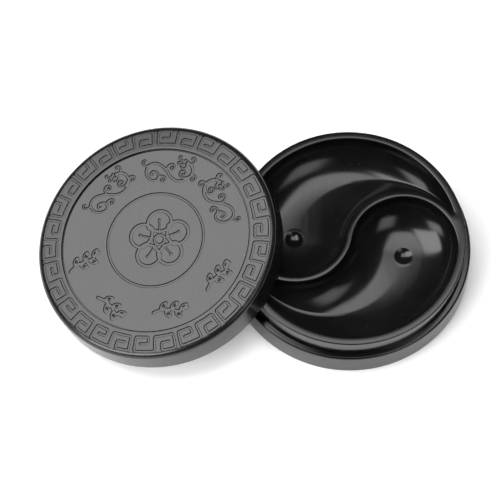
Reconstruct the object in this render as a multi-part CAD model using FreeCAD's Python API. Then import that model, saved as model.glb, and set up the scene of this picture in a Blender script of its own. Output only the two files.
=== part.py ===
"""Round lidded ink dish with two comma-shaped wells, its lid taken off and leaning on the rim.

Units are millimetres. The origin is on the dish's axis, in the surface that it stands on, and +Z is up.
"""
import FreeCAD, Part
import math
import os

from FreeCAD import Placement, Rotation, Vector

# Dish: a skirt, a ledge that the closed lid sits on, and a neck that the lid slips over
DISH_RADIUS = 60.0
SKIRT_DRAFT = 0.4
LEDGE_HEIGHT = 14.3
LEDGE_WIDTH = 3.0
RIM_HEIGHT = 25.9
RIM_WIDTH = 4.0
FOOT_WIDTH = 5.0
FOOT_RECESS = 1.2
NECK_EDGE = 0.6
LEDGE_EDGE = 1.0
FOOT_EDGE = 0.5

# Wells: two equal commas, head to tail, with one S-shaped divider between them
DIVIDER_WIDTH = 3.2
WELL_DEPTH = 13.9
WELL_SWEEP = 17.0
WELL_LIP = 0.8
TAIL_TIP_RADIUS = 1.2
WELLS_BEARING = -9.5
LIP_STEPS = 3
BOWL_STEPS = 9
PIT_RADIUS = 4.45
PIT_DEPTH = 1.2

# Lid: a shallow cap. Its border falls a little outwards, round a sunken panel with a ring groove in it
LID_OVERHANG = 0.95
LID_DRAFT = 0.55
LID_TOP_THICKNESS = 3.2
LID_SHOULDER = 3.0
LID_FIT_CLEARANCE = 0.35
LID_HEAD_CLEARANCE = 0.4
LID_EDGE = 0.5
CAVITY_CORNER = 1.5
BORDER_WIDTH = 12.6
BORDER_DROP = 0.9
PANEL_DEPTH = 1.0
PANEL_EDGE = 0.3
RING_RADIUS = 24.3
RING_WIDTH = 1.1
RING_DEPTH = 0.4

# How the lid lies: how far it reaches over the dish, on which side, the way it leans, and its gap to the rim
LID_OVERLAP = 29.55
LID_BEARING = 181.7
LEAN_BEARING = 189.0
REST_GAP = 0.2

# Sizes that follow from the ones above
FOOT_RADIUS = DISH_RADIUS + SKIRT_DRAFT
NECK_RADIUS = DISH_RADIUS - LEDGE_WIDTH
WELL_RING_RADIUS = NECK_RADIUS - RIM_WIDTH
HEAD_RADIUS = (WELL_RING_RADIUS - DIVIDER_WIDTH / 2) / 2
LOBE_OFFSET = WELL_RING_RADIUS - HEAD_RADIUS
LOBE_RADIUS = HEAD_RADIUS + DIVIDER_WIDTH
NECK_HEIGHT = RIM_HEIGHT - LEDGE_HEIGHT
CAVITY_RADIUS = NECK_RADIUS + LID_FIT_CLEARANCE
CAVITY_HEIGHT = NECK_HEIGHT + LID_HEAD_CLEARANCE
LID_RADIUS = DISH_RADIUS + LID_OVERHANG
LID_TOP_RADIUS = LID_RADIUS - LID_DRAFT
LID_HEIGHT = CAVITY_HEIGHT + LID_TOP_THICKNESS
LID_OFFSET = DISH_RADIUS + LID_RADIUS - LID_OVERLAP
PANEL_RADIUS = LID_TOP_RADIUS - BORDER_WIDTH

Z_AXIS = Vector(0, 0, 1)
ORIGIN = Vector(0, 0, 0)
CUT_OVERSHOOT = 1.0
FULL_TURN = 360.0


def rounded_outline(corners):
    """Closed outline through (radius, height, rounding) corners, each rounding a tangent arc."""
    places = [Vector(radius, 0, height) for radius, height, _ in corners]
    edges = []
    ends = []
    for index, place in enumerate(places):
        to_last = (places[index - 1] - place).normalize()
        to_next = (places[(index + 1) % len(places)] - place).normalize()
        rounding = corners[index][2]
        if rounding == 0:
            ends.append((place, place))
            continue
        half_angle = to_last.getAngle(to_next) / 2
        start = place + to_last * (rounding / math.tan(half_angle))
        end = place + to_next * (rounding / math.tan(half_angle))
        inward = (to_last + to_next).normalize()
        middle = place + inward * (rounding / math.sin(half_angle) - rounding)
        edges.append(Part.Arc(start, middle, end).toShape())
        ends.append((start, end))
    for index, (_, end) in enumerate(ends):
        following = ends[(index + 1) % len(ends)][0]
        edges.append(Part.makeLine(end, following))
    return Part.Wire(Part.__sortEdges__(edges))


def turned(corners):
    """Revolve a closed outline of (radius, height, rounding) corners about the Z axis."""
    return Part.Face(rounded_outline(corners)).revolve(ORIGIN, Z_AXIS, FULL_TURN)


def tail_point(inset):
    """Where the ring side and the lobe side of a well meet, in its tail, with the outline drawn in by inset."""
    ring = WELL_RING_RADIUS - inset
    lobe = LOBE_RADIUS + inset
    cosine = (ring ** 2 + LOBE_OFFSET ** 2 - lobe ** 2) / (2 * ring * LOBE_OFFSET)
    sine = math.sqrt(1 - cosine ** 2)
    return Vector(-ring * cosine, -ring * sine, 0)


def well_outline(inset, height):
    """One comma, its head centred on +X, drawn in by inset: ring side, tail tip, lobe side and head."""
    ring = WELL_RING_RADIUS - inset
    lobe = LOBE_RADIUS + inset
    head = HEAD_RADIUS - inset
    head_centre = Vector(LOBE_OFFSET, 0, 0)
    lobe_centre = Vector(-LOBE_OFFSET, 0, 0)
    tip_centre = tail_point(inset + TAIL_TIP_RADIUS)
    from_ring = Vector(tip_centre).normalize()
    from_lobe = (tip_centre - lobe_centre).normalize()
    to_tip = (from_ring - from_lobe).normalize()

    ring_end = Vector(ring, 0, 0)
    tip_start = from_ring * ring
    tip_middle = tip_centre + to_tip * TAIL_TIP_RADIUS
    tip_end = lobe_centre + from_lobe * lobe
    neck = Vector(lobe - LOBE_OFFSET, 0, 0)

    half_ring = (math.atan2(tip_start.y, tip_start.x)) / 2
    ring_middle = Vector(math.cos(half_ring), math.sin(half_ring), 0) * ring
    half_lobe = math.atan2(from_lobe.y, from_lobe.x) / 2
    lobe_middle = lobe_centre + Vector(math.cos(half_lobe), math.sin(half_lobe), 0) * lobe
    head_middle = head_centre + Vector(0, head, 0)

    arcs = [
        Part.Arc(ring_end, ring_middle, tip_start),
        Part.Arc(tip_start, tip_middle, tip_end),
        Part.Arc(tip_end, lobe_middle, neck),
        Part.Arc(neck, head_middle, ring_end),
    ]
    wire = Part.Wire([arc.toShape() for arc in arcs])
    wire.translate(Vector(0, 0, height))
    return wire


def well_sections():
    """Inset and height of each section of a well: the rounded lip, then the bowl down to its floor."""
    sections = [(-WELL_LIP, RIM_HEIGHT + CUT_OVERSHOOT)]
    for step in range(LIP_STEPS + 1):
        angle = math.radians(90) * step / LIP_STEPS
        sections.append((-WELL_LIP * (1 - math.sin(angle)), RIM_HEIGHT - WELL_LIP * (1 - math.cos(angle))))
    for step in range(1, BOWL_STEPS + 1):
        angle = math.radians(90) * step / BOWL_STEPS
        drop = (WELL_DEPTH - WELL_LIP) * math.sin(angle)
        sections.append((WELL_SWEEP * (1 - math.cos(angle)), RIM_HEIGHT - WELL_LIP - drop))
    return sections


def well_cutter():
    """The space inside one well, with the round pit in the middle of its head."""
    wires = [well_outline(inset, height) for inset, height in well_sections()]
    bowl = Part.makeLoft(wires, True, True)
    pit_sphere = (PIT_RADIUS ** 2 + PIT_DEPTH ** 2) / (2 * PIT_DEPTH)
    floor = RIM_HEIGHT - WELL_DEPTH
    pit = Part.makeSphere(pit_sphere, Vector(LOBE_OFFSET, 0, floor - PIT_DEPTH + pit_sphere))
    return bowl.fuse(pit)


def make_dish():
    """The dish: a drafted skirt, the ledge, the neck, both wells and a shallow recess inside the foot."""
    recess_radius = FOOT_RADIUS - FOOT_WIDTH
    body = turned([
        (0, FOOT_RECESS, 0),
        (recess_radius, FOOT_RECESS, 0),
        (recess_radius, 0, FOOT_EDGE),
        (FOOT_RADIUS, 0, FOOT_EDGE),
        (DISH_RADIUS, LEDGE_HEIGHT, LEDGE_EDGE),
        (NECK_RADIUS, LEDGE_HEIGHT, 0),
        (NECK_RADIUS, RIM_HEIGHT, NECK_EDGE),
        (0, RIM_HEIGHT, 0),
    ])
    well = well_cutter()
    for half_turn in (0, 180):
        cutter = well.copy()
        cutter.rotate(ORIGIN, Z_AXIS, WELLS_BEARING + half_turn)
        body = body.cut(cutter)
    return body


def make_lid():
    """The lid, closed side up, with its open side in the plane Z = 0."""
    panel_height = LID_HEIGHT - PANEL_DEPTH
    groove_floor = panel_height - RING_DEPTH
    return turned([
        (CAVITY_RADIUS, 0, LID_EDGE),
        (LID_RADIUS, 0, LID_EDGE),
        (LID_TOP_RADIUS, LID_HEIGHT - BORDER_DROP, LID_SHOULDER),
        (PANEL_RADIUS, LID_HEIGHT, PANEL_EDGE),
        (PANEL_RADIUS, panel_height, 0),
        (RING_RADIUS + RING_WIDTH / 2, panel_height, 0),
        (RING_RADIUS + RING_WIDTH / 2, groove_floor, 0),
        (RING_RADIUS - RING_WIDTH / 2, groove_floor, 0),
        (RING_RADIUS - RING_WIDTH / 2, panel_height, 0),
        (0, panel_height, 0),
        (0, CAVITY_HEIGHT, 0),
        (CAVITY_RADIUS, CAVITY_HEIGHT, CAVITY_CORNER),
    ])


def lid_placement(lean):
    """The lid leaning by lean degrees, with the lowest point of its edge on the surface."""
    bearing = math.radians(LID_BEARING)
    downhill = math.radians(LEAN_BEARING)
    height = LID_RADIUS * math.sin(math.radians(lean))
    centre = Vector(LID_OFFSET * math.cos(bearing), LID_OFFSET * math.sin(bearing), height)
    return Placement(centre, Rotation(Vector(-math.sin(downhill), math.cos(downhill), 0), lean))


def gap_to_rim(lean):
    """Smallest height of the leaning lid's open edge above the rim that it crosses."""
    placement = lid_placement(lean)
    to_lid = placement.inverse()
    up_in_lid = to_lid.Rotation.multVec(Z_AXIS)
    gaps = []
    for step in range(720):
        angle = math.radians(step / 2)
        rim_point = Vector(NECK_RADIUS * math.cos(angle), NECK_RADIUS * math.sin(angle), RIM_HEIGHT)
        local = to_lid.multVec(rim_point)
        rise = -local.z / up_in_lid.z
        above = local + up_in_lid * rise
        if CAVITY_RADIUS <= math.hypot(above.x, above.y) <= LID_RADIUS:
            gaps.append(rise)
    return min(gaps)


def lean_for_gap():
    """The lean at which the lid clears the rim by REST_GAP, found by halving the range."""
    low = 1.0
    high = 45.0
    for _ in range(40):
        middle = (low + high) / 2
        if gap_to_rim(middle) < REST_GAP:
            low = middle
        else:
            high = middle
    return high


lean = lean_for_gap()
lid = make_lid()
lid.Placement = lid_placement(lean)

os.makedirs("parts", exist_ok=True)
make_dish().exportStep("parts/dish.step")
lid.exportStep("parts/lid.step")
print("lid leans %.3f degrees, its centre is at %s" % (lean, lid.Placement.Base))
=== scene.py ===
"""Looks of a round lidded ink dish with two comma-shaped wells, its lid off and leaning on the rim.

Sizes in the classes are millimetres, as a moulding drawing gives them, and angles are degrees.
Meshes are made in metres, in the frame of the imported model.
"""

import logging
import math
from dataclasses import dataclass, field
from enum import Enum
from itertools import compress
from typing import Callable, Iterable, Sequence

import bmesh
import bpy
import numpy as np
from mathutils import Matrix, Vector
from mathutils.geometry import delaunay_2d_cdt


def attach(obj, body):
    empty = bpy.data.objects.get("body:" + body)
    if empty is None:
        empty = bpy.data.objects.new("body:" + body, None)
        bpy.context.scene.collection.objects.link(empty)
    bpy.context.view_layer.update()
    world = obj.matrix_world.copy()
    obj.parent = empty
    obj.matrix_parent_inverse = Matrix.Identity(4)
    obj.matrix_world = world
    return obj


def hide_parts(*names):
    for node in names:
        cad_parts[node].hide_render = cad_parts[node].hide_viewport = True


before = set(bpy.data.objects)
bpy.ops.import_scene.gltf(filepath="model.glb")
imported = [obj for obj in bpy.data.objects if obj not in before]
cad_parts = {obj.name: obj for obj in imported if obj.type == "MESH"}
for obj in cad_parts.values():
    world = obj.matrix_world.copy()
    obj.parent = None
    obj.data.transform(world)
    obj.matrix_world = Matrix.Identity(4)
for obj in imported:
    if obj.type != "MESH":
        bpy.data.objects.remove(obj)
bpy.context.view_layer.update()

LOG = logging.getLogger("ink_dish")
MM = 0.001
FULL_TURN = 360.0
MERGE_DISTANCE = 2e-6
SLIVER = 1e-7
FILL_TOLERANCE = 1e-5

Colour = tuple[float, float, float, float]
Corner = tuple[float, float, float]
Face = tuple[int, ...]
Range = tuple[float, float]
Nodes = bpy.types.Nodes
Socket = bpy.types.NodeSocket


class Body(Enum):
    """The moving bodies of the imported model."""

    DISH = "dish_body"
    LID = "lid_body"


class Slot(Enum):
    """The material slots of the record."""

    DISH = "dish_plastic"
    LID = "lid_plastic"


# ---------------------------------------------------------------- outlines


def arc_points(centre: Sequence[float], radius: float, start: float, stop: float, count: int) -> np.ndarray:
    """Points along an arc, its last one left out so that the next piece of an outline can start there.

    Args:
        centre: Centre of the arc.
        radius: Radius of the arc.
        start: Direction of the first point from the centre.
        stop: Direction where the arc ends.
        count: Number of points.

    Returns:
        An array of count rows of x and y.
    """
    angles = np.radians(start + (stop - start) * np.arange(count) / count)
    return np.column_stack([centre[0] + radius * np.cos(angles), centre[1] + radius * np.sin(angles)])


def rounded_line(corners: Sequence[Corner], arc_step: float = 12.0) -> np.ndarray:
    """Open line through (x, y, rounding) corners, with a tangent arc at each rounded one.

    Args:
        corners: Corners in order, the rounding of the first and last not used.
        arc_step: Largest turn between two points of an arc.

    Returns:
        An array of x and y rows.
    """
    places = np.array([(x, y) for x, y, _ in corners], float)
    line = [places[0]]
    for index in range(1, len(places) - 1):
        place, rounding = places[index], corners[index][2]
        if rounding <= 0:
            line.append(place)
            continue
        back = (places[index - 1] - place) / np.linalg.norm(places[index - 1] - place)
        ahead = (places[index + 1] - place) / np.linalg.norm(places[index + 1] - place)
        half = math.acos(float(np.clip(back @ ahead, -1, 1))) / 2
        inward = (back + ahead) / np.linalg.norm(back + ahead)
        centre = place + inward * rounding / math.sin(half)
        first = place + back * rounding / math.tan(half) - centre
        turn = math.copysign(math.pi - 2 * half, first[1] * back[0] - first[0] * back[1])
        steps = max(2, math.ceil(abs(math.degrees(turn)) / arc_step))
        for step in range(steps + 1):
            cosine, sine = math.cos(turn * step / steps), math.sin(turn * step / steps)
            spoke = [first[0] * cosine - first[1] * sine, first[0] * sine + first[1] * cosine]
            line.append(centre + np.array(spoke))
    line.append(places[-1])
    return np.array(line)


def spaced_line(line: np.ndarray, spacing: float, closed: bool = False) -> np.ndarray:
    """The same line with its points an equal distance apart.

    Args:
        line: Rows of x and y.
        spacing: Distance wanted between points.
        closed: Whether the last point joins the first.

    Returns:
        An array of x and y rows.
    """
    path = np.vstack([line, line[:1]]) if closed else line
    along = np.concatenate([[0.0], np.cumsum(np.linalg.norm(np.diff(path, axis=0), axis=1))])
    count = max(3, int(round(along[-1] / spacing)) + 1)
    wanted = np.linspace(0, along[-1], count)
    points = np.column_stack([np.interp(wanted, along, path[:, axis]) for axis in (0, 1)])
    return points[:-1] if closed else points


def flowing_line(points: Sequence[tuple[float, float]], spacing: float, steps: int = 12) -> np.ndarray:
    """Smooth line through a few points, as a hand draws it, sampled at equal spacing.

    Args:
        points: Points that the line passes through.
        spacing: Distance wanted between the samples.
        steps: Samples taken from one point to the next before they are spaced.

    Returns:
        An array of x and y rows.
    """
    path = np.array(points, float)
    padded = np.vstack([2 * path[0] - path[1], path, 2 * path[-1] - path[-2]])
    samples = []
    for index in range(len(path) - 1):
        before, start, stop, after = padded[index:index + 4]
        for share in np.arange(steps) / steps:
            samples.append(
                0.5 * (2 * start + (stop - before) * share
                       + (2 * before - 5 * start + 4 * stop - after) * share ** 2
                       + (3 * start - before - 3 * stop + after) * share ** 3)
            )
    samples.append(path[-1])
    return spaced_line(np.array(samples), spacing)


def turned_points(points: np.ndarray, degrees: float, shift: Sequence[float] = (0, 0)) -> np.ndarray:
    """Points turned about the origin and then moved.

    Args:
        points: Rows of x and y.
        degrees: Turn, anticlockwise.
        shift: Move along x and y.

    Returns:
        The points in their new place.
    """
    angle = math.radians(degrees)
    turn = np.array([[math.cos(angle), math.sin(angle)], [-math.sin(angle), math.cos(angle)]])
    return points @ turn + np.array(shift, float)


def inside(points: np.ndarray, outline: np.ndarray) -> np.ndarray:
    """Which of the points lie inside a closed outline.

    Args:
        points: Rows of x and y.
        outline: Corners of the outline.

    Returns:
        True for each point inside it.
    """
    result = np.zeros(len(points), bool)
    following = np.roll(outline, -1, axis=0)
    for (x0, y0), (x1, y1) in zip(outline, following):
        if y0 == y1:
            continue
        crosses = (y0 > points[:, 1]) != (y1 > points[:, 1])
        at = (x1 - x0) * (points[:, 1] - y0) / (y1 - y0) + x0
        result ^= crosses & (points[:, 0] < at)
    return result


def away_from(points: np.ndarray, outline: np.ndarray) -> np.ndarray:
    """Distance of each point from the nearest corner of an outline."""
    return np.min(np.linalg.norm(points[:, None, :] - outline[None, :, :], axis=2), axis=1)


def lifted(outline: np.ndarray, height: float) -> np.ndarray:
    """A flat outline put at a height."""
    return np.column_stack([outline, np.full(len(outline), height)])


# ---------------------------------------------------------------- engraved lines


@dataclass
class Stroke:
    """One engraved line, its width free to change along it."""

    line: np.ndarray
    start_width: float
    stop_width: float
    closed: bool = False
    cap_points: int = 6

    def widths(self) -> np.ndarray:
        """Width of the line at each of its points."""
        return np.linspace(self.start_width, self.stop_width, len(self.line))

    def moved(self, degrees: float, shift: Sequence[float] = (0, 0), mirrored: bool = False) -> "Stroke":
        """The same stroke in another place, mirrored left to right first if asked."""
        line = self.line * np.array([-1.0, 1.0]) if mirrored else self.line
        return Stroke(turned_points(line, degrees, shift), self.start_width, self.stop_width, self.closed)

    def rails(self, offset: float) -> list[np.ndarray]:
        """Closed loops that run beside the stroke, offset outside its edge.

        Args:
            offset: Distance outside the edge, below zero for inside it.

        Returns:
            One loop round an open stroke, or two for a closed one.
        """
        if self.closed:
            ahead = np.roll(self.line, -1, axis=0) - np.roll(self.line, 1, axis=0)
        else:
            ahead = np.gradient(self.line, axis=0)
        ahead /= np.linalg.norm(ahead, axis=1)[:, None]
        aside = np.column_stack([-ahead[:, 1], ahead[:, 0]])
        reach = (self.widths() / 2 + offset)[:, None]
        left, right = self.line + aside * reach, self.line - aside * reach
        if self.closed:
            return [left, right]
        caps = []
        for end, direction in ((-1, ahead[-1]), (0, -ahead[0])):
            heading = math.degrees(math.atan2(direction[1], direction[0]))
            cap = arc_points(self.line[end], reach[end, 0], heading + 90, heading - 90, self.cap_points)
            caps.append(cap[1:])
        return [np.vstack([left, caps[0], right[::-1], caps[1]])]


@dataclass
class Engraving:
    """Strokes cut to one depth, each with a flat floor between two steep walls."""

    strokes: list[Stroke]
    depth: float
    wall: float = 0.36
    rail_tolerance: float = 0.03
    batch: int = 1500

    def edges(self) -> list[np.ndarray]:
        """Runs of points where the mesh needs vertices: the top and foot of each wall.

        Returns:
            The runs, cut where another stroke crosses them.
        """
        runs = []
        for offset in (self.wall / 2, -self.wall / 2):
            for stroke in self.strokes:
                for loop in stroke.rails(offset):
                    clear = self.distance(loop) > offset - self.rail_tolerance
                    rail, clear = np.vstack([loop, loop[:1]]), np.append(clear, clear[0])
                    cuts = np.flatnonzero(~clear)
                    pieces = (piece[kept] for piece, kept in zip(np.split(rail, cuts), np.split(clear, cuts)))
                    runs.extend(piece for piece in pieces if len(piece) > 1)
        return runs

    def distance(self, points: np.ndarray) -> np.ndarray:
        """Distance of each point from the nearest stroke's edge.

        Args:
            points: Rows of x and y.

        Returns:
            The distances, below zero inside a stroke.
        """
        starts, stops, begin, end = [], [], [], []
        for stroke in self.strokes:
            line, widths = stroke.line, stroke.widths() / 2
            if stroke.closed:
                line, widths = np.vstack([line, line[:1]]), np.append(widths, widths[0])
            starts.append(line[:-1])
            stops.append(line[1:])
            begin.append(widths[:-1])
            end.append(widths[1:])
        first, last = np.vstack(starts), np.vstack(stops)
        wide_first, wide_last = np.concatenate(begin), np.concatenate(end)
        span = last - first
        length = np.maximum((span ** 2).sum(1), np.finfo(float).tiny)
        nearest = np.empty(len(points))
        for low in range(0, len(points), self.batch):
            part = points[low:low + self.batch, None, :] - first[None, :, :]
            share = np.clip((part * span).sum(2) / length, 0, 1)
            away = np.linalg.norm(part - share[..., None] * span, axis=2)
            nearest[low:low + self.batch] = (away - wide_first - share * (wide_last - wide_first)).min(1)
        return nearest

    def height(self, points: np.ndarray) -> np.ndarray:
        """Height of the cut surface at each point, below zero in a stroke."""
        share = np.clip(0.5 - self.distance(points) / self.wall, 0, 1)
        return -self.depth * share


def filled(
    loops: Sequence[np.ndarray], runs: Sequence[np.ndarray], loose: np.ndarray
) -> tuple[np.ndarray, list[Face]]:
    """Triangles between closed loops, with an edge along each run and a vertex at each loose point.

    Args:
        loops: Closed outlines.
        runs: Open lines that triangle edges have to follow.
        loose: Further points to use.

    Returns:
        The points as rows of x and y, and the triangles over their whole hull.
    """
    points: list[np.ndarray] = []
    edges: list[tuple[int, int]] = []
    for closed, lines in ((True, loops), (False, runs)):
        for line in lines:
            base = len(points)
            points.extend(line)
            edges.extend((base + k, base + k + 1) for k in range(len(line) - 1))
            if closed:
                edges.append((base + len(line) - 1, base))
    points.extend(loose)
    corners = [Vector(p) for p in points]
    made, _, faces, _, _, _ = delaunay_2d_cdt(corners, edges, [], 0, FILL_TOLERANCE, False)
    return np.array([tuple(v) for v in made]), [tuple(f) for f in faces]


def face_middles(points: np.ndarray, faces: Sequence[Face]) -> np.ndarray:
    """Middle of each face."""
    return np.array([points[list(face)].mean(0) for face in faces])


def grid_points(
    low: Sequence[float], high: Sequence[float], spacing: float, row_share: float = 0.87
) -> np.ndarray:
    """Points of a staggered grid that covers a box.

    Args:
        low: Low corner of the box.
        high: High corner of the box.
        spacing: Distance between the points of a row.
        row_share: Distance between rows as a share of the spacing.

    Returns:
        An array of x and y rows.
    """
    rows = []
    for row, y in enumerate(np.arange(low[1] + spacing / 2, high[1], spacing * row_share)):
        xs = np.arange(low[0] + spacing * (0.5 if row % 2 else 1.0), high[0], spacing)
        rows.append(np.column_stack([xs, np.full(len(xs), y)]))
    return np.vstack(rows)


@dataclass(frozen=True)
class Fill:
    """Loose points in a face: their spacing, and how clear they stay of its edge and of what is cut in it."""

    spacing: float
    from_edge: float
    from_cut: float


# ---------------------------------------------------------------- meshes


class Shell:
    """Surfaces gathered into one closed mesh."""

    def __init__(self) -> None:
        """Starts with nothing."""
        self.points: list[Corner] = []
        self.faces: list[Face] = []

    def add(self, points: np.ndarray, faces: Iterable[Face]) -> None:
        """Adds points and faces.

        Args:
            points: Rows of x, y, z in millimetres.
            faces: Corners of each face, counted from the first of the points.
        """
        base = len(self.points)
        self.points.extend(tuple(float(v) for v in p) for p in points)
        self.faces.extend(tuple(base + k for k in face) for face in faces)

    def add_rings(self, rings: Sequence[np.ndarray], closed: bool = True) -> None:
        """Joins rings of equal length with quads.

        Args:
            rings: Arrays of x, y, z rows.
            closed: Whether each ring's last point joins its first.
        """
        size = len(rings[0])
        last = size if closed else size - 1
        faces = []
        for level in range(len(rings) - 1):
            low, high = level * size, (level + 1) * size
            for k in range(last):
                after = (k + 1) % size
                faces.append((low + k, low + after, high + after, high + k))
        self.add(np.vstack(rings), faces)

    def add_fan(self, ring: np.ndarray, centre: Corner, closed: bool = True) -> None:
        """Joins a ring to its centre with triangles.

        Args:
            ring: Rows of x, y, z.
            centre: Where the triangles meet.
            closed: Whether the ring's last point joins its first.
        """
        size = len(ring)
        last = size if closed else size - 1
        self.add(np.vstack([ring, [centre]]), [(k, (k + 1) % size, size) for k in range(last)])

    def add_mesh(self, mesh: bpy.types.Mesh) -> None:
        """Adds a mesh that is in metres."""
        points = np.array([tuple(v.co) for v in mesh.vertices]) / MM
        self.add(points, [tuple(p.vertices) for p in mesh.polygons])

    def mesh(self, name: str, place: Matrix | None = None, sharp: float = 30.0) -> bpy.types.Mesh:
        """The gathered surfaces as one mesh in metres, seams merged and normals outwards.

        Args:
            name: Name of the mesh.
            place: Where it goes in the frame, or None where it already is in place.
            sharp: Angle above which an edge is shown sharp.

        Returns:
            The new mesh.
        """
        mesh = bpy.data.meshes.new(name)
        mesh.from_pydata([(x * MM, y * MM, z * MM) for x, y, z in self.points], [], self.faces)
        work = bmesh.new()
        work.from_mesh(mesh)
        bmesh.ops.remove_doubles(work, verts=work.verts, dist=MERGE_DISTANCE)
        bmesh.ops.dissolve_degenerate(work, edges=work.edges, dist=SLIVER)
        bmesh.ops.recalc_face_normals(work, faces=work.faces)
        if place is not None:
            work.transform(place)
        work.to_mesh(mesh)
        open_edges = sum(1 for e in work.edges if not e.is_manifold)
        work.free()
        mesh.shade_smooth()
        mesh.set_sharp_from_angle(angle=math.radians(sharp))
        LOG.info("%s: %d faces, %d open edges", name, len(mesh.polygons), open_edges)
        return mesh


def swept(profile: np.ndarray, angles: np.ndarray) -> list[np.ndarray]:
    """Rings that a profile makes when it turns about the axis.

    Args:
        profile: Rows of radius and height.
        angles: Bearings of the rings' points.

    Returns:
        One ring for each row of the profile.
    """
    turns = np.radians(angles)
    return [
        np.column_stack([radius * np.cos(turns), radius * np.sin(turns), np.full(len(turns), height)])
        for radius, height in profile
    ]


@dataclass(frozen=True)
class RoundRepeat:
    """Geometry Nodes tree that turns one sector about the Z axis into a whole round."""

    name: str = "round_repeat"

    def tree(self) -> bpy.types.GeometryNodeTree:
        """Builds the tree: points on the axis, the sector at each, made real, merged and painted.

        Returns:
            The node tree, with inputs Geometry, Copies, Merge Distance and Finish.
        """
        tree = bpy.data.node_groups.new(self.name, "GeometryNodeTree")
        kinds = {"Geometry": "Geometry", "Copies": "Int", "Merge Distance": "Float", "Finish": "Material"}
        for name, kind in kinds.items():
            tree.interface.new_socket(name, in_out="INPUT", socket_type=f"NodeSocket{kind}")
        tree.interface.new_socket("Geometry", in_out="OUTPUT", socket_type="NodeSocketGeometry")
        new, link = tree.nodes.new, tree.links.new
        given, result = new("NodeGroupInput"), new("NodeGroupOutput")
        points, index = new("GeometryNodePoints"), new("GeometryNodeInputIndex")
        share, angle = new("ShaderNodeMath"), new("ShaderNodeMath")
        share.operation, angle.operation = "DIVIDE", "MULTIPLY"
        angle.inputs[1].default_value = 2 * math.pi
        axis, turn = new("ShaderNodeCombineXYZ"), new("FunctionNodeEulerToRotation")
        copies, real = new("GeometryNodeInstanceOnPoints"), new("GeometryNodeRealizeInstances")
        merge, paint = new("GeometryNodeMergeByDistance"), new("GeometryNodeSetMaterial")
        for source, output, target, socket in (
            (given, "Copies", points, "Count"), (given, "Copies", share, 1), (index, "Index", share, 0),
            (share, 0, angle, 0), (angle, 0, axis, "Z"), (axis, 0, turn, 0), (points, 0, copies, "Points"),
            (given, "Geometry", copies, "Instance"), (turn, 0, copies, "Rotation"), (copies, 0, real, 0),
            (real, 0, merge, "Geometry"), (given, "Merge Distance", merge, "Distance"),
            (merge, 0, paint, "Geometry"), (given, "Finish", paint, "Material"), (paint, 0, result, 0),
        ):
            link(source.outputs[output], target.inputs[socket])
        return tree

    def apply(self, sector: bpy.types.Mesh, copies: int, finish: bpy.types.Material) -> bpy.types.Mesh:
        """Repeats one sector and returns the plain mesh of the whole round.

        Args:
            sector: Mesh of one sector.
            copies: Number of sectors in a full turn.
            finish: Material that the round gets.

        Returns:
            A new mesh with no modifier behind it.
        """
        tree = self.tree()
        holder = bpy.data.objects.new(sector.name, sector)
        bpy.context.scene.collection.objects.link(holder)
        modifier = holder.modifiers.new(self.name, "NODES")
        modifier.node_group = tree
        inputs = {item.name: item.identifier for item in tree.interface.items_tree if item.in_out == "INPUT"}
        modifier[inputs["Copies"]] = copies
        modifier[inputs["Merge Distance"]] = MERGE_DISTANCE
        modifier[inputs["Finish"]] = finish
        bpy.context.view_layer.update()
        graph = bpy.context.evaluated_depsgraph_get()
        result = bpy.data.meshes.new_from_object(holder.evaluated_get(graph))
        holder.modifiers.remove(modifier)
        bpy.data.objects.remove(holder)
        return result


# ---------------------------------------------------------------- finishes


def grey(value: float) -> Colour:
    """A grey between 0 for black and 1 for white."""
    return (value, value, value, 1.0)


def mapped(
    nodes: Nodes, link: Callable, value: Socket, given: Range, wanted: Range, smooth: bool = False
) -> Socket:
    """Adds a node that moves a value from one range to another and holds it at the ends.

    Args:
        nodes: Nodes of the tree.
        link: Joins two sockets of the tree.
        value: The value that is moved.
        given: Range that it comes in.
        wanted: Range that it goes to.
        smooth: Whether it eases in and out.

    Returns:
        The moved value.
    """
    ranged = nodes.new("ShaderNodeMapRange")
    ranged.interpolation_type = "SMOOTHSTEP" if smooth else "LINEAR"
    for socket, number in zip(("From Min", "From Max", "To Min", "To Max"), (*given, *wanted)):
        ranged.inputs[socket].default_value = number
    link(value, ranged.inputs["Value"])
    return ranged.outputs["Result"]


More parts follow.
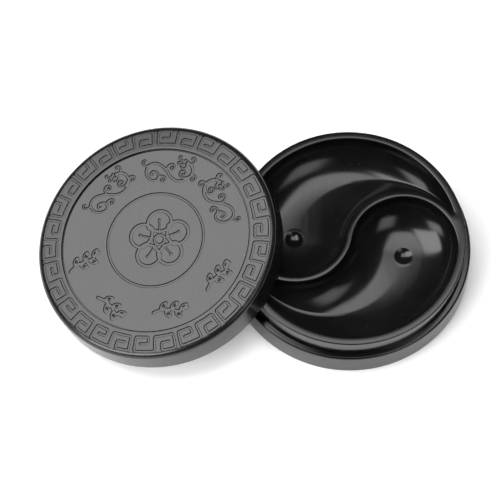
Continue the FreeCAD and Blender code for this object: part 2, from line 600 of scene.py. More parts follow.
@dataclass(frozen=True)
class MouldedPlastic:
    """Black moulded plastic: a faint mottle, long handling marks and a few specks of dust.

    Each scale counts repeats in a metre, and the marks' depth is in millimetres.
    """

    name: str
    dark: float
    light: float
    gloss: Range
    mark_depth: float
    speck: float
    mottle_scale: float = 55.0
    mottle_detail: float = 3.0
    mottle_range: Range = (0.35, 0.65)
    mark_scale: float = 700.0
    mark_detail: float = 2.0
    mark_stretch: tuple[float, float, float] = (1.0, 0.12, 1.0)
    mark_bearing: float = 20.0
    mark_range: Range = (0.3, 0.7)
    mark_strength: float = 0.5
    dust_scale: float = 260.0
    dust_size: Range = (0.030, 0.045)
    dust_grey: float = 0.55
    refraction: float = 1.5

    def material(self) -> bpy.types.Material:
        """Builds the node material on Object coordinates.

        Returns:
            The new material.
        """
        made = bpy.data.materials.new(self.name)
        made.use_nodes = True
        nodes, link = made.node_tree.nodes, made.node_tree.links.new
        shader = nodes["Principled BSDF"]
        shader.inputs["Metallic"].default_value = 0.0
        shader.inputs["IOR"].default_value = self.refraction
        place = nodes.new("ShaderNodeTexCoord").outputs["Object"]

        mottle = self._noise(nodes, link, place, self.mottle_scale, self.mottle_detail)
        blend = nodes.new("ShaderNodeMix")
        blend.data_type = "RGBA"
        blend.inputs["A"].default_value = grey(self.dark)
        blend.inputs["B"].default_value = grey(self.light)
        link(mapped(nodes, link, mottle, self.mottle_range, (0.0, 1.0)), blend.inputs["Factor"])

        cells = nodes.new("ShaderNodeTexVoronoi")
        cells.inputs["Scale"].default_value = self.dust_scale
        link(place, cells.inputs["Vector"])
        dust = mapped(nodes, link, cells.outputs["Distance"], self.dust_size, (self.speck, 0.0))
        dusted = nodes.new("ShaderNodeMix")
        dusted.data_type = "RGBA"
        dusted.inputs["B"].default_value = grey(self.dust_grey)
        link(dust, dusted.inputs["Factor"])
        link(blend.outputs["Result"], dusted.inputs["A"])
        link(dusted.outputs["Result"], shader.inputs["Base Color"])

        stretched = nodes.new("ShaderNodeMapping")
        stretched.inputs["Rotation"].default_value = (0, 0, math.radians(self.mark_bearing))
        stretched.inputs["Scale"].default_value = self.mark_stretch
        link(place, stretched.inputs["Vector"])
        streak = self._noise(nodes, link, stretched.outputs[0], self.mark_scale, self.mark_detail)
        link(mapped(nodes, link, streak, self.mark_range, self.gloss), shader.inputs["Roughness"])
        marks = nodes.new("ShaderNodeBump")
        marks.inputs["Strength"].default_value = self.mark_strength
        marks.inputs["Distance"].default_value = self.mark_depth * MM
        link(streak, marks.inputs["Height"])
        link(marks.outputs["Normal"], shader.inputs["Normal"])
        return made

    @staticmethod
    def _noise(nodes: Nodes, link: Callable, place: Socket, scale: float, detail: float) -> Socket:
        """Adds a noise over the piece.

        Args:
            nodes: Nodes of the material.
            link: Joins two sockets of the material.
            place: Coordinates that it reads.
            scale: Repeats in a metre.
            detail: Number of finer layers.

        Returns:
            The noise's value.
        """
        noise = nodes.new("ShaderNodeTexNoise")
        noise.inputs["Scale"].default_value = scale
        noise.inputs["Detail"].default_value = detail
        link(place, noise.inputs["Vector"])
        return noise.outputs[0]


GLOSS_BLACK = MouldedPlastic(
    "gloss_black_plastic", dark=0.004, light=0.007, gloss=(0.14, 0.17), mark_depth=0.0002, speck=0.2
)
SATIN_BLACK = MouldedPlastic(
    "satin_black_plastic", dark=0.006, light=0.009, gloss=(0.19, 0.22), mark_depth=0.0004, speck=0.25
)


def put_in_scene(
    mesh: bpy.types.Mesh, finish: bpy.types.Material, node: str, body: Body
) -> bpy.types.Object:
    """Makes a piece of a finished mesh that stands for a CAD node and rides on its body.

    Args:
        mesh: Mesh in metres, in place.
        finish: Its material.
        node: CAD node that it stands for.
        body: Body that it moves with.

    Returns:
        The new object.
    """
    mesh.materials.clear()
    mesh.materials.append(finish)
    piece = bpy.data.objects.new(mesh.name, mesh)
    bpy.context.scene.collection.objects.link(piece)
    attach(piece, body.value)
    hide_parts(node)
    return piece


# ---------------------------------------------------------------- the dish


@dataclass
class Dish:
    """The dish: a drafted skirt, the ledge for the closed lid, the neck, and two comma-shaped wells."""

    radius: float = 60.0
    foot_radius: float = 60.4
    foot_width: float = 5.0
    foot_recess: float = 1.2
    foot_edge: float = 0.5
    ledge_height: float = 14.3
    ledge_edge: float = 1.0
    neck_radius: float = 57.0
    neck_edge: float = 0.6
    inner_fillet: float = 0.25
    hub_radius: float = 6.0
    rim_height: float = 25.9
    well_ring: float = 53.0
    divider: float = 3.2
    well_depth: float = 13.9
    well_sweep: float = 17.0
    bowl_reach: float = 19.0
    floor_dip: float = 0.31
    well_lip: float = 0.8
    tip_radius: float = 1.2
    wells_bearing: float = -9.5
    pit_radius: float = 4.45
    pit_depth: float = 1.2
    pit_edge: float = 0.35
    segments: int = 360
    lip_steps: int = 6
    bowl_steps: int = 44
    pit_segments: int = 72
    outline_counts: tuple[int, int, int, int] = (150, 10, 84, 100)
    floor_fill: Fill = Fill(spacing=0.9, from_edge=0.4, from_cut=0.5)
    sharp_angle: float = 32.0
    finish: MouldedPlastic = field(default=GLOSS_BLACK)

    @property
    def head_radius(self) -> float:
        """Radius of a well's round head at its lip."""
        return (self.well_ring - self.divider / 2) / 2

    @property
    def lobe_offset(self) -> float:
        """Distance of a head's centre from the dish's axis."""
        return self.well_ring - self.head_radius

    def tail_point(self, inset: float) -> np.ndarray:
        """Where the ring side and the lobe side of a well would meet.

        Args:
            inset: Distance that both sides are drawn in.

        Returns:
            The x and y of the point.
        """
        ring = self.well_ring - inset
        lobe = self.head_radius + self.divider + inset
        cosine = (ring ** 2 + self.lobe_offset ** 2 - lobe ** 2) / (2 * ring * self.lobe_offset)
        return np.array([-ring * cosine, -ring * math.sqrt(1 - cosine ** 2)])

    def well_outline(self, inset: float) -> np.ndarray:
        """Outline of one comma drawn in by inset: ring side, tail tip, lobe side and head.

        Args:
            inset: Distance inside the outline at the lip.

        Returns:
            Points of the closed outline, as many for every inset.
        """
        ring_count, tip_count, lobe_count, head_count = self.outline_counts
        ring, lobe = self.well_ring - inset, self.head_radius + self.divider + inset
        tip = self.tail_point(inset + self.tip_radius)
        lobe_centre = np.array([-self.lobe_offset, 0.0])
        from_ring = math.degrees(math.atan2(tip[1], tip[0]))
        to_lobe = math.degrees(math.atan2(*(lobe_centre - tip)[::-1]))
        from_lobe = math.degrees(math.atan2(*(tip - lobe_centre)[::-1]))
        return np.vstack([
            arc_points((0, 0), ring, 0, from_ring, ring_count),
            arc_points(tip, self.tip_radius, from_ring + FULL_TURN, to_lobe, tip_count),
            arc_points(lobe_centre, lobe, from_lobe, 0, lobe_count),
            arc_points((self.lobe_offset, 0), self.head_radius - inset, 180, 0, head_count),
        ])

    def well_levels(self) -> list[tuple[float, float]]:
        """Lines of a well, from its rounded lip down its bowl to the floor's edge.

        Returns:
            Inset and height of each line.
        """
        levels = []
        for step in range(self.lip_steps):
            angle = math.radians(90) * step / self.lip_steps
            back, down = self.well_lip * (1 - math.sin(angle)), self.well_lip * (1 - math.cos(angle))
            levels.append((-back, self.rim_height - down))
        last = math.acos(1 - self.well_sweep / self.bowl_reach)
        fall = (self.well_depth - self.well_lip - self.floor_dip) / math.sin(last)
        for step in range(self.bowl_steps + 1):
            angle = last * step / self.bowl_steps
            drop = fall * math.sin(angle)
            levels.append((self.bowl_reach * (1 - math.cos(angle)), self.rim_height - self.well_lip - drop))
        return levels

    def pit_profile(self) -> np.ndarray:
        """Profile of the round pit in a well's floor, from its softened edge down to its centre.

        Returns:
            Rows of radius and height.
        """
        floor = self.rim_height - self.well_depth
        ball = (self.pit_radius ** 2 + self.pit_depth ** 2) / (2 * self.pit_depth)
        middle = floor - self.pit_depth + ball
        edge_height = floor - self.pit_edge
        edge_radius = math.sqrt((ball + self.pit_edge) ** 2 - (middle - edge_height) ** 2)
        meet = math.degrees(math.atan2(middle - edge_height, -edge_radius))
        rounded = arc_points((edge_radius, edge_height), self.pit_edge, 90, meet, 5)
        bowl = arc_points((0, middle), ball, meet - 180, -90, 14)
        return np.vstack([rounded, bowl, [[0.0, floor - self.pit_depth]]])

    def make_well(self) -> Shell:
        """One well: lip, bowl, dished floor and pit, its head towards +X.

        Returns:
            The open surface of the well.
        """
        well = Shell()
        well.add_rings([lifted(self.well_outline(inset), height) for inset, height in self.well_levels()])

        floor, outline = self.rim_height - self.well_depth, self.well_outline(self.well_sweep)
        pit, centre = self.pit_profile(), np.array([self.lobe_offset, 0.0])
        brink = pit[0][0]
        pit_rim = arc_points(centre, brink, 0, FULL_TURN, self.pit_segments)
        grid = grid_points(outline.min(0), outline.max(0), self.floor_fill.spacing)
        off_pit = np.linalg.norm(grid - centre, axis=1) > brink + self.floor_fill.from_cut
        grid = grid[inside(grid, outline) & off_pit & (away_from(grid, outline) > self.floor_fill.from_edge)]
        points, faces = filled([outline, pit_rim], [], grid)
        middles = face_middles(points, faces)
        keep = inside(middles, outline) & ~inside(middles, pit_rim)
        half_width = self.head_radius - self.well_sweep
        rise = self.floor_dip * np.clip(1 - away_from(points, outline) / half_width, 0, 1) ** 2
        pit_rise = self.floor_dip * (brink / half_width) ** 2
        rise[away_from(points, pit_rim) < self.floor_fill.from_cut] = pit_rise
        well.add(np.column_stack([points, floor + rise]), compress(faces, keep))

        rings = [
            lifted(arc_points(centre, radius, 0, FULL_TURN, self.pit_segments), height + pit_rise)
            for radius, height in pit[:-1]
        ]
        well.add_rings(rings)
        well.add_fan(rings[-1], (*centre, pit[-1][1] + pit_rise))
        return well

    def make_outside(self) -> Shell:
        """Rim land, neck, ledge, skirt, foot and underside.

        Returns:
            The open surface outside the wells.
        """
        outside = Shell()
        recess = self.foot_radius - self.foot_width
        profile = rounded_line([
            (self.well_ring, self.rim_height, 0),
            (self.neck_radius, self.rim_height, self.neck_edge),
            (self.neck_radius, self.ledge_height, self.inner_fillet),
            (self.radius, self.ledge_height, self.ledge_edge),
            (self.foot_radius, 0, self.foot_edge),
            (recess, 0, self.foot_edge),
            (recess, self.foot_recess, self.inner_fillet),
            (self.hub_radius, self.foot_recess, 0),
        ])[1:]
        rings = swept(profile, np.arange(self.segments) * FULL_TURN / self.segments)
        outside.add_rings(rings)
        outside.add_fan(rings[-1], (0.0, 0.0, self.foot_recess))

        lip = self.well_outline(-self.well_lip)
        lips = [turned_points(lip, self.wells_bearing + half_turn) for half_turn in (0, 180)]
        points, faces = filled([rings[0][:, :2], *lips], [], np.empty((0, 2)))
        middles = face_middles(points, faces)
        keep = ~(inside(middles, lips[0]) | inside(middles, lips[1]))
        outside.add(lifted(points, self.rim_height), compress(faces, keep))
        return outside

    def build(self) -> bpy.types.Object:
        """Builds the whole dish and puts it in the scene.

        Returns:
            The dish's object.
        """
        finish = self.finish.material()
        turn = Matrix.Rotation(math.radians(self.wells_bearing), 4, "Z")
        one = self.make_well().mesh("ink_well", turn)
        both = RoundRepeat("round_repeat_wells").apply(one, 2, finish)
        whole = self.make_outside()
        whole.add_mesh(both)
        mesh = whole.mesh("ink_dish", sharp=self.sharp_angle)
        return put_in_scene(mesh, finish, "dish", Body.DISH)


# ---------------------------------------------------------------- the lid


@dataclass
class KeyBorder:
    """The engraved key border: one unit of two joined square spirals, repeated round the lid."""

    copies: int = 15
    first_bearing: float = 19.5
    lead: float = 1.375
    inner: float = 50.3
    middle: float = 53.6
    outer: float = 57.45
    width: float = 1.15
    depth: float = 0.5
    corner: float = 0.85
    arc_step: float = 18.0
    spacing: float = 0.42
    unroll_radius: float = 53.8

    @property
    def pitch(self) -> float:
        """Angle that one unit takes."""
        return FULL_TURN / self.copies

    @property
    def start_bearing(self) -> float:
        """Bearing where the first unit's sector starts."""
        return self.first_bearing - self.lead

    def across(self, degrees: float) -> float:
        """Distance along the border at an angle from the sector's start, as if it were unrolled."""
        return math.radians(degrees) * self.unroll_radius

    def engraving(self) -> Engraving:
        """The unit's line on the unrolled border.

        Returns:
            The engraving, x along the border and y the radius.
        """
        corners = [
            (3.0, self.middle), (7.3, self.middle), (7.3, self.inner), (0.0, self.inner),
            (0.0, self.outer), (10.65, self.outer), (10.65, self.inner), (21.25, self.inner),
            (21.25, self.outer), (14.3, self.outer), (14.3, self.middle), (18.4, self.middle),
        ]
        line = rounded_line([(self.across(u + self.lead), r, self.corner) for u, r in corners], self.arc_step)
        return Engraving([Stroke(spaced_line(line, self.spacing), self.width, self.width)], self.depth)


@dataclass
class PanelOrnaments:
    """What is cut into the lid's sunken panel: a ring, a blossom in it, three scrolls and four sprigs."""

    ring_radius: float = 24.3
    ring_width: float = 1.1
    ring_points: int = 240
    depth: float = 0.5
    spacing: float = 0.4
    dot_reach: float = 0.04
    scroll_radius: float = 37.4
    blossom_radius: float = 15.0
    blossom_width: float = 1.5
    blossom_place: tuple[float, float] = (2.0, 0.0)
    sprig_size: float = 1.12
    sprig_weight: float = 1.25
    sprig_places: tuple[tuple[float, float, float], ...] = (
        (-36.4, -8.0, 20.0), (-22.6, -32.4, -52.0), (7.5, -37.0, -8.0), (31.5, -22.0, 38.0),
    )
    scroll_bearings: tuple[tuple[float, bool], ...] = ((131.0, False), (79.4, False), (28.0, True))

    def _flow(self, points: Sequence[tuple[float, float]], start: float, stop: float) -> Stroke:
        """A flowing stroke through a few points."""
        return Stroke(flowing_line(points, self.spacing), start, stop)

    def _dot(self, x: float, y: float, size: float) -> Stroke:
        """A round dot."""
        return Stroke(np.array([(x - self.dot_reach, y), (x, y), (x + self.dot_reach, y)]), size, size)

    def scroll(self) -> list[Stroke]:
        """An S-shaped vine with curls and a bud.

        Returns:
            Its strokes, x along the border and y outwards.
        """
        vine = [
            (-8.0, -3.7), (-8.9, -3.7), (-9.1, -2.8), (-8.0, -1.8), (-6.2, -2.3), (-5.0, -3.6),
            (-5.2, -5.4), (-6.7, -6.6), (-8.9, -6.2), (-10.7, -4.7), (-11.7, -2.8), (-11.7, -0.5),
            (-10.7, 1.4), (-8.8, 2.4), (-6.4, 2.4), (-4.2, 1.4), (-2.1, -0.1), (-0.6, -1.7), (0.9, -3.5),
            (2.8, -5.0), (5.1, -5.8), (7.4, -5.6), (9.7, -4.6), (11.4, -2.8), (12.0, -0.6), (11.7, 1.5),
            (10.4, 3.2), (8.8, 4.0),
        ]
        curls = [
            [(-11.5, 0.8), (-12.8, 0.8), (-14.1, 1.5), (-14.5, 2.7), (-13.7, 3.6), (-12.8, 3.1),
             (-13.4, 2.4)],
            [(-4.9, -4.6), (-3.4, -3.8), (-1.7, -4.3), (-1.0, -5.6), (-2.0, -6.8), (-3.3, -6.3),
             (-2.6, -5.4)],
            [(-1.4, -0.6), (-1.2, 1.1), (0.1, 2.6), (1.8, 2.5), (2.4, 1.1), (1.6, -0.2), (0.6, 0.5),
             (1.2, 1.2)],
            [(10.9, -3.3), (12.3, -2.4), (13.8, -2.8), (14.3, -4.2), (13.2, -5.3), (12.0, -4.8),
             (12.6, -4.0)],
            [(10.6, -3.2), (8.6, -4.0), (6.8, -3.6), (5.8, -2.3), (6.2, -0.8), (7.5, -0.3), (8.6, -1.2),
             (8.2, -2.4), (7.2, -2.1)],
            [(10.3, 3.3), (11.8, 4.0), (12.6, 5.4), (11.9, 6.7), (10.8, 6.6), (10.9, 5.7)],
            [(7.4, 4.8), (5.6, 5.0), (4.1, 6.0), (4.4, 7.2), (5.3, 6.8)],
            [(7.0, 3.4), (5.4, 2.7), (4.1, 3.1), (4.0, 4.0), (4.8, 4.2)],
            [(8.9, 3.2), (8.0, 1.3), (6.6, 0.9), (5.8, 1.6)],
        ]
        bud = Stroke(arc_points((7.7, 4.1), 1.25, 18, 378, 5), 1.05, 1.05)
        return [
            self._flow(vine, 0.95, 1.35),
            *(self._flow(curl, 0.95, 0.75) for curl in curls),
            *(self._dot(x, y, bud.start_width) for x, y in bud.line),
        ]

    def blossom(self, radius: float, width: float, petals: int = 5, tilt: float = 90.0) -> list[Stroke]:
        """An open blossom of rounded petals with a ring of stamens.

        Args:
            radius: Distance of the petals' tips from the centre.
            width: Width of the petals' outlines.
            petals: Number of petals.
            tilt: Bearing of the first petal.

        Returns:
            Its strokes, about the origin.
        """
        strokes = []
        petal, reach = radius * 0.40, radius * 0.60
        heart = radius * 0.17
        for k in range(petals):
            bearing = tilt + k * FULL_TURN / petals
            outline = np.vstack([
                [[heart + 0.1 * radius, 0.0]],
                arc_points((reach, 0), petal, -128, 128, 24),
                [[heart + 0.1 * radius, 0.0]],
            ])
            strokes.append(Stroke(spaced_line(outline, self.spacing), width, width).moved(bearing))
            stem = np.array([(heart * 1.9, 0.0), (radius * 0.5, 0.0), (radius * 0.62, 0.0)])
            strokes.append(Stroke(spaced_line(stem, self.spacing), width * 0.55, width * 0.45).moved(bearing))
            strokes.append(self._dot(radius * 0.68, 0.0, width * 0.95).moved(bearing))
        strokes.append(Stroke(arc_points((0, 0), heart, 0, FULL_TURN, 24), width * 0.8, width * 0.8, True))
        return strokes

    def sprig(self) -> list[Stroke]:
        """A small leafy sprig.

        Returns:
            Its strokes, the stem along x.
        """
        stem = [(-7.2, -1.6), (-4.0, -0.2), (0.0, 0.3), (4.0, -0.1), (7.0, 1.2)]
        strokes = [self._flow(stem, 1.15, 0.8)]
        leaf = [(0.3, 0.0), (1.4, 0.95), (2.9, 1.05), (4.4, 0.1), (3.0, -0.75), (1.4, -0.7), (0.3, 0.0)]
        vein = [(0.4, 0.0), (1.8, 0.12), (3.3, 0.1)]
        leaves = ((-4.4, -0.3, 55), (-2.2, 0.1, -50), (0.4, 0.3, 52), (2.4, 0.1, -46), (4.4, 0.0, 44))
        for x, y, turn in leaves:
            strokes.append(self._flow(leaf, 0.7, 0.7).moved(turn, (x, y)))
            strokes.append(self._flow(vein, 0.5, 0.4).moved(turn, (x, y)))
        strokes.append(self._dot(7.4, 1.4, 1.5))
        size, weight = self.sprig_size, self.sprig_weight
        return [Stroke(s.line * size, s.start_width * weight, s.stop_width * weight) for s in strokes]

    def engraving(self) -> Engraving:
        """Every stroke of the panel.

        Returns:
            The engraving, in place about the lid's axis.
        """
        ring = arc_points((0, 0), self.ring_radius, 0, FULL_TURN, self.ring_points)
        strokes = [Stroke(ring, self.ring_width, self.ring_width, True)]
        blossom = self.blossom(self.blossom_radius, self.blossom_width)
        strokes += [s.moved(0, self.blossom_place) for s in blossom]
        for bearing, mirrored in self.scroll_bearings:
            angle = math.radians(bearing)
            shift = (self.scroll_radius * math.cos(angle), self.scroll_radius * math.sin(angle))
            strokes += [s.moved(bearing - 90, shift, mirrored) for s in self.scroll()]
        for x, y, turn in self.sprig_places:
            strokes += [s.moved(turn, (x, y)) for s in self.sprig()]
        return Engraving(strokes, self.depth)


@dataclass
class Lid:
    """The lid: a shallow cap with a rounded shoulder, a sloping engraved border and a sunken panel."""

    radius: float = 60.95
    top_radius: float = 60.4
    height: float = 15.2
    shoulder: float = 3.0
    edge: float = 0.5
    border_drop: float = 0.9
    cavity_radius: float = 57.35
    cavity_height: float = 12.0
    cavity_corner: float = 1.5
    panel_radius: float = 47.8
    panel_depth: float = 1.0
    panel_edge: float = 0.3
    groove_width: float = 0.5
    groove_depth: float = 0.45
    groove_edge: float = 0.05
    seam: float = 0.2
    hub_radius: float = 6.0
    cut_radius: float = 58.6
    centre: tuple[float, float, float] = (-91.3598, -2.7115, 15.4253)
    lean: float = 14.660
    lean_bearing: float = 189.0
    arc_step: float = 7.5
    sector_steps: int = 24
    side_points: int = 9
    border_fill: Fill = Fill(spacing=0.95, from_edge=0.4, from_cut=0.32)
    panel_fill: Fill = Fill(spacing=1.9, from_edge=1.0, from_cut=0.4)
    sharp_angle: float = 28.0
    border: KeyBorder = field(default_factory=KeyBorder)
    ornaments: PanelOrnaments = field(default_factory=PanelOrnaments)
    finish: MouldedPlastic = field(default=SATIN_BLACK)

    @property
    def seam_radius(self) -> float:
        """Radius where the sectors meet the panel, just inside its groove."""
        return self.panel_radius - self.groove_width - self.seam

    def placement(self) -> Matrix:
        """Where the leaning lid lies.

        Returns:
            Its place in the frame.
        """
        downhill = math.radians(self.lean_bearing)
        axis = Vector((-math.sin(downhill), math.cos(downhill), 0))
        lean = Matrix.Rotation(math.radians(self.lean), 4, axis)
        return Matrix.Translation(Vector(self.centre) * MM) @ lean

    def outside_profile(self) -> np.ndarray:
        """Profile from the panel's step, over the border and shoulder, to the cavity's ceiling.

        Returns:
            Rows of radius and height.
        """
        panel = self.height - self.panel_depth
        inner = self.panel_radius - self.groove_width
        return rounded_line([
            (self.seam_radius, panel, 0),
            (inner, panel - self.groove_depth, self.groove_edge),
            (self.panel_radius, panel - self.groove_depth, self.groove_edge),
            (self.panel_radius, self.height, self.panel_edge),
            (self.top_radius, self.height - self.border_drop, self.shoulder),
            (self.radius, 0, self.edge),
            (self.cavity_radius, 0, self.edge),
            (self.cavity_radius, self.cavity_height, self.cavity_corner),
            (self.hub_radius, self.cavity_height, 0),
        ], self.arc_step)

    def make_sector(self) -> Shell:
        """One sector of the lid outside its panel, with one unit of the key border cut into it.

        Returns:
            The open surface of the sector.
        """
        sector = Shell()
        border = self.border
        profile = self.outside_profile()
        angles = border.start_bearing + np.arange(self.sector_steps + 1) * border.pitch / self.sector_steps
        top = int(np.argmax(profile[:, 1]))
        over = top + int(np.argmax(profile[top:, 0] > self.cut_radius))
        border_line = profile[top:over + 1]
        cut_height = float(np.interp(self.cut_radius, border_line[:, 0], border_line[:, 1]))
        outer_edge = np.vstack([[self.cut_radius, cut_height], profile[over:]])
        for part in (profile[:top + 1], outer_edge):
            sector.add_rings(swept(part, angles), closed=False)
        hub = swept(outer_edge[-1:], angles)[0]
        sector.add_fan(hub, (0.0, 0.0, self.cavity_height), closed=False)

        engraving = border.engraving()
        xs = np.array([border.across(a - border.start_bearing) for a in angles])
        ys = np.linspace(float(profile[top][0]), self.cut_radius, self.side_points)
        sides = ys[1:-1]
        outline = np.vstack([
            np.column_stack([xs, np.full_like(xs, ys[0])]),
            np.column_stack([np.full_like(sides, xs[-1]), sides]),
            np.column_stack([xs[::-1], np.full_like(xs, ys[-1])]),
            np.column_stack([np.full_like(sides, xs[0]), sides[::-1]]),
        ])
        low, high = np.array([xs[0], ys[0]]), np.array([xs[-1], ys[-1]])
        grid = grid_points(low, high, self.border_fill.spacing)
        off_edge = np.minimum(grid - low, high - grid).min(1) > self.border_fill.from_edge
        grid = grid[(np.abs(engraving.distance(grid)) > self.border_fill.from_cut) & off_edge]
        points, faces = filled([outline], engraving.edges(), grid)
        radii, bearings = points[:, 1], np.radians(border.start_bearing) + points[:, 0] / border.unroll_radius
        heights = np.interp(radii, border_line[:, 0], border_line[:, 1]) + engraving.height(points)
        sector.add(np.column_stack([radii * np.cos(bearings), radii * np.sin(bearings), heights]), faces)
        return sector

    def make_panel(self) -> Shell:
        """The sunken panel with its ornaments.

        Returns:
            The open surface of the panel.
        """
        panel = Shell()
        count = self.sector_steps * self.border.copies
        start = self.border.start_bearing
        outline = arc_points((0, 0), self.seam_radius, start, start + FULL_TURN, count)
        engraving = self.ornaments.engraving()
        grid = grid_points((-self.panel_radius,) * 2, (self.panel_radius,) * 2, self.panel_fill.spacing)
        grid = grid[np.linalg.norm(grid, axis=1) < self.seam_radius - self.panel_fill.from_edge]
        grid = grid[np.abs(engraving.distance(grid)) > self.panel_fill.from_cut]
        points, faces = filled([outline], engraving.edges(), grid)
        heights = self.height - self.panel_depth + engraving.height(points)
        panel.add(np.column_stack([points, heights]), faces)
        return panel

    def build(self) -> bpy.types.Object:
        """Builds the whole lid and puts it in the scene.

        Returns:
            The lid's object.
        """
        finish = self.finish.material()
        sector = self.make_sector().mesh("lid_sector")
        whole = self.make_panel()
        whole.add_mesh(RoundRepeat("round_repeat_border").apply(sector, self.border.copies, finish))
        mesh = whole.mesh("ink_dish_lid", self.placement(), self.sharp_angle)
        return put_in_scene(mesh, finish, "lid", Body.LID)


# ---------------------------------------------------------------- studio


@dataclass(frozen=True)
class SoftBox:
    """One soft light that faces the object: where it hangs, its size in metres, its power and its fade.

    Zenith is the angle from straight above. The names in lit are all that it lights, if there are any.
    """

    name: str
    bearing: float
    zenith: float
    distance: float
    width: float
    depth: float
    power: float
    in_reflections: bool = True
    fade: float = 0.16
    lit: tuple[str, ...] = ()


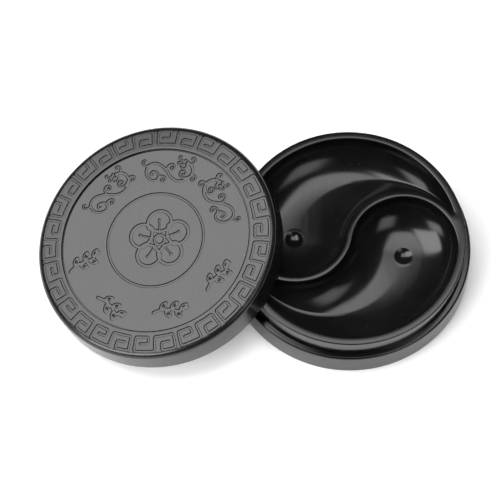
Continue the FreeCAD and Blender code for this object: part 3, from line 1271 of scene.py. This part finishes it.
@dataclass
class Studio:
    """A pale floor, soft boxes, a dim surround and the camera, with places and sizes in metres."""

    target: tuple[float, float, float] = (-0.03, 0.0, 0.02)
    camera_place: tuple[float, float, float] = (-0.04875, -0.5344, 1.2365)
    camera_pitch: float = 23.53
    lens: float = 194.76
    sensor: float = 36.0
    sight: Range = (0.05, 30.0)
    floor_size: float = 8.0
    floor_height: float = -0.0001
    floor_grey: float = 0.86
    floor_roughness: float = 0.9
    # glow of the floor near the object: painted light, kept low there so the floor round the object is
    # painted darker than farther out
    floor_glow: float = 0.2
    glow_reach: Range = (0.6, 2.0)
    surround: float = 0.02
    boxes: tuple[SoftBox, ...] = (
        SoftBox("overhead_box", 157.0, 29.5, 1.3, 1.16, 1.22, 22.5, lit=("ink_dish_lid", "studio_floor")),
        SoftBox("well_box", 168.0, 28.6, 1.3, 1.08, 0.80, 14.4, fade=0.06, lit=("ink_dish",)),
        SoftBox("top_box", 60.0, 12.5, 1.3, 0.62, 0.66, 4.6),
        SoftBox("side_box", 216.5, 57.0, 1.3, 1.25, 0.85, 24.0, lit=("ink_dish_lid", "studio_floor")),
        SoftBox("low_box", 202.0, 56.0, 1.3, 1.0, 0.65, 7.0, fade=0.24, lit=("ink_dish",)),
        SoftBox("front_box", -41.0, 40.5, 1.3, 0.74, 0.88, 4.0, fade=0.24),
        SoftBox("fill_box", 90.0, 10.0, 1.6, 2.4, 2.4, 8.5, in_reflections=False),
    )

    def make_floor(self) -> None:
        """Lays the pale floor, which glows more the farther it lies from the object: painted light, kept weak
        near the object so that the floor round it is painted darker.
        """
        half = self.floor_size / 2
        mesh = bpy.data.meshes.new("studio_floor")
        corners = [(x * half, y * half, self.floor_height) for x, y in ((-1, -1), (1, -1), (1, 1), (-1, 1))]
        mesh.from_pydata(corners, [], [(0, 1, 2, 3)])
        pale = bpy.data.materials.new("pale_floor")
        pale.use_nodes = True
        nodes, link = pale.node_tree.nodes, pale.node_tree.links.new
        shader = nodes["Principled BSDF"]
        shader.inputs["Base Color"].default_value = grey(self.floor_grey)
        shader.inputs["Roughness"].default_value = self.floor_roughness
        shader.inputs["Specular IOR Level"].default_value = 0.0
        shader.inputs["Emission Color"].default_value = grey(1.0)
        away = nodes.new("ShaderNodeVectorMath")
        away.operation = "LENGTH"
        link(nodes.new("ShaderNodeTexCoord").outputs["Object"], away.inputs[0])
        # painted light and painted shade: the floor glows little near the object and fully far from it
        ends = (self.floor_glow, 1.0)
        glow = mapped(nodes, link, away.outputs["Value"], self.glow_reach, ends, smooth=True)
        link(glow, shader.inputs["Emission Strength"])
        mesh.materials.append(pale)
        floor = bpy.data.objects.new("studio_floor", mesh)
        bpy.context.scene.collection.objects.link(floor)

    def make_lights(self) -> None:
        """Hangs the soft boxes, each facing the object."""
        aim = Vector(self.target)
        for box in self.boxes:
            bearing, zenith = math.radians(box.bearing), math.radians(box.zenith)
            level = math.sin(zenith)
            away = Vector((level * math.cos(bearing), level * math.sin(bearing), math.cos(zenith)))
            data = bpy.data.lights.new(box.name, "AREA")
            data.shape = "RECTANGLE"
            data.size, data.size_y = box.width, box.depth
            data.energy = box.power
            self.soften(data, box.fade)
            light = bpy.data.objects.new(box.name, data)
            light.location = aim + away * box.distance
            side = (Vector((1, 0, 0)) - away * away.x).normalized()
            light.rotation_euler = Matrix((side, away.cross(side), away)).transposed().to_euler()
            light.visible_glossy = box.in_reflections
            light.visible_camera = False
            bpy.context.scene.collection.objects.link(light)

    def soften(self, data: bpy.types.AreaLight, edge: float) -> None:
        """Lets a soft box fade towards its edges, as its cloth does.

        Args:
            data: The light of the box.
            edge: How far the fade reaches in, as a share of the box.
        """
        data.use_nodes = True
        nodes, link = data.node_tree.nodes, data.node_tree.links.new
        across = nodes.new("ShaderNodeSeparateXYZ")
        link(nodes.new("ShaderNodeNewGeometry").outputs["Parametric"], across.inputs[0])
        glow = nodes.new("ShaderNodeMath")
        glow.operation = "MULTIPLY"
        for side in (0, 1):
            rest, both = nodes.new("ShaderNodeMath"), nodes.new("ShaderNodeMath")
            rest.operation, both.operation = "SUBTRACT", "MULTIPLY"
            rest.inputs[0].default_value = 1.0
            link(across.outputs[side], rest.inputs[1])
            link(across.outputs[side], both.inputs[0])
            link(rest.outputs[0], both.inputs[1])
            fade = mapped(nodes, link, both.outputs[0], (0.0, edge), (0.0, 1.0), smooth=True)
            link(fade, glow.inputs[side])
        link(glow.outputs[0], nodes["Emission"].inputs["Strength"])

    def share_lights(self) -> None:
        """Keeps each box that has a list of what it lights to that list."""
        for box in self.boxes:
            if box.lit:
                group = bpy.data.collections.new(f"lit_by_{box.name}")
                for name in box.lit:
                    group.objects.link(bpy.data.objects[name])
                bpy.data.objects[box.name].light_linking.receiver_collection = group

    def make_surround(self) -> None:
        """Surrounds the scene with a dim even light, and with a pale backdrop where the floor ends."""
        world = bpy.data.worlds.new("studio_surround")
        world.use_nodes = True
        nodes, link = world.node_tree.nodes, world.node_tree.links.new
        dim = nodes["Background"]
        dim.inputs["Color"].default_value = grey(1.0)
        dim.inputs["Strength"].default_value = self.surround
        pale = nodes.new("ShaderNodeBackground")
        pale.inputs["Color"].default_value = grey(1.0)
        path, mix = nodes.new("ShaderNodeLightPath"), nodes.new("ShaderNodeMixShader")
        link(path.outputs["Is Camera Ray"], mix.inputs[0])
        link(dim.outputs[0], mix.inputs[1])
        link(pale.outputs[0], mix.inputs[2])
        link(mix.outputs[0], nodes["World Output"].inputs["Surface"])
        bpy.context.scene.world = world

    def make_camera(self) -> None:
        """Sets up the camera."""
        data = bpy.data.cameras.new("studio_camera")
        data.lens = self.lens
        data.sensor_width = self.sensor
        data.clip_start, data.clip_end = self.sight
        camera = bpy.data.objects.new("studio_camera", data)
        camera.location = self.camera_place
        camera.rotation_euler = (math.radians(self.camera_pitch), 0, 0)
        bpy.context.scene.collection.objects.link(camera)
        bpy.context.scene.camera = camera
        bpy.context.scene.view_settings.view_transform = "Standard"

    def build(self) -> None:
        """Builds the whole studio."""
        self.make_floor()
        self.make_lights()
        self.make_surround()
        self.make_camera()


def main() -> None:
    """Builds the dish, the lid and the studio."""
    logging.basicConfig(level=logging.INFO, format="%(name)s %(message)s")
    studio = Studio()
    studio.build()
    for part in (Dish(), Lid()):
        piece = part.build()
        LOG.info("piece %s has %d faces", piece.name, len(piece.data.polygons))
    studio.share_lights()


if __name__ == "__main__":
    main()
